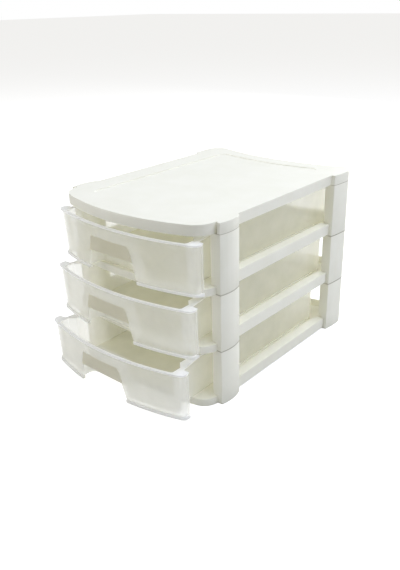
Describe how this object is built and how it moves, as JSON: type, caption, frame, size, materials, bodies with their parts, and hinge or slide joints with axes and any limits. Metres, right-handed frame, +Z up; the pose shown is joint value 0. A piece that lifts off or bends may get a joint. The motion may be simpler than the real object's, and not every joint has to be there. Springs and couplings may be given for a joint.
{
  "type": "desktop drawer organizer",
  "caption": "Desktop organizer for A4 paper: translucent bowed drawers with finger pulls in an open ivory frame of stacked shelves and corner posts.",
  "frame": {"origin": "on the desk, under the middle of the whole object with its drawers as pictured", "axes": "+X to the right of someone facing the drawers, +Y towards the back, +Z up"},
  "size_m": [0.2888, 0.4314, 0.267],
  "materials": {
    "ivory_plastic": "satin moulded, opaque",
    "milky_plastic": "translucent, fine satin"
  },
  "bodies": {
    "frame": {"base_shelf": "ivory_plastic", "middle_shelf": "ivory_plastic", "upper_shelf": "ivory_plastic", "top_plate": "ivory_plastic", "bottom_post_front_left": "ivory_plastic", "bottom_post_front_right": "ivory_plastic", "bottom_post_rear_left": "ivory_plastic", "bottom_post_rear_right": "ivory_plastic", "middle_post_front_left": "ivory_plastic", "middle_post_front_right": "ivory_plastic", "middle_post_rear_left": "ivory_plastic", "middle_post_rear_right": "ivory_plastic", "upper_post_front_left": "ivory_plastic", "upper_post_front_right": "ivory_plastic", "upper_post_rear_left": "ivory_plastic", "upper_post_rear_right": "ivory_plastic"},
    "bottom_drawer": {"bottom_drawer": "milky_plastic"},
    "middle_drawer": {"middle_drawer": "milky_plastic"},
    "upper_drawer": {"upper_drawer": "milky_plastic"}
  },
  "joints": [
    {"name": "bottom_drawer_slide", "type": "slide", "parent": "frame", "child": "bottom_drawer", "axis": [0, -1, 0], "range_m": [-0.035, 0.195]},
    {"name": "middle_drawer_slide", "type": "slide", "parent": "frame", "child": "middle_drawer", "axis": [0, -1, 0], "range_m": [-0.014, 0.216]},
    {"name": "upper_drawer_slide", "type": "slide", "parent": "frame", "child": "upper_drawer", "axis": [0, -1, 0], "range_m": [0, 0.23]}
  ]
}
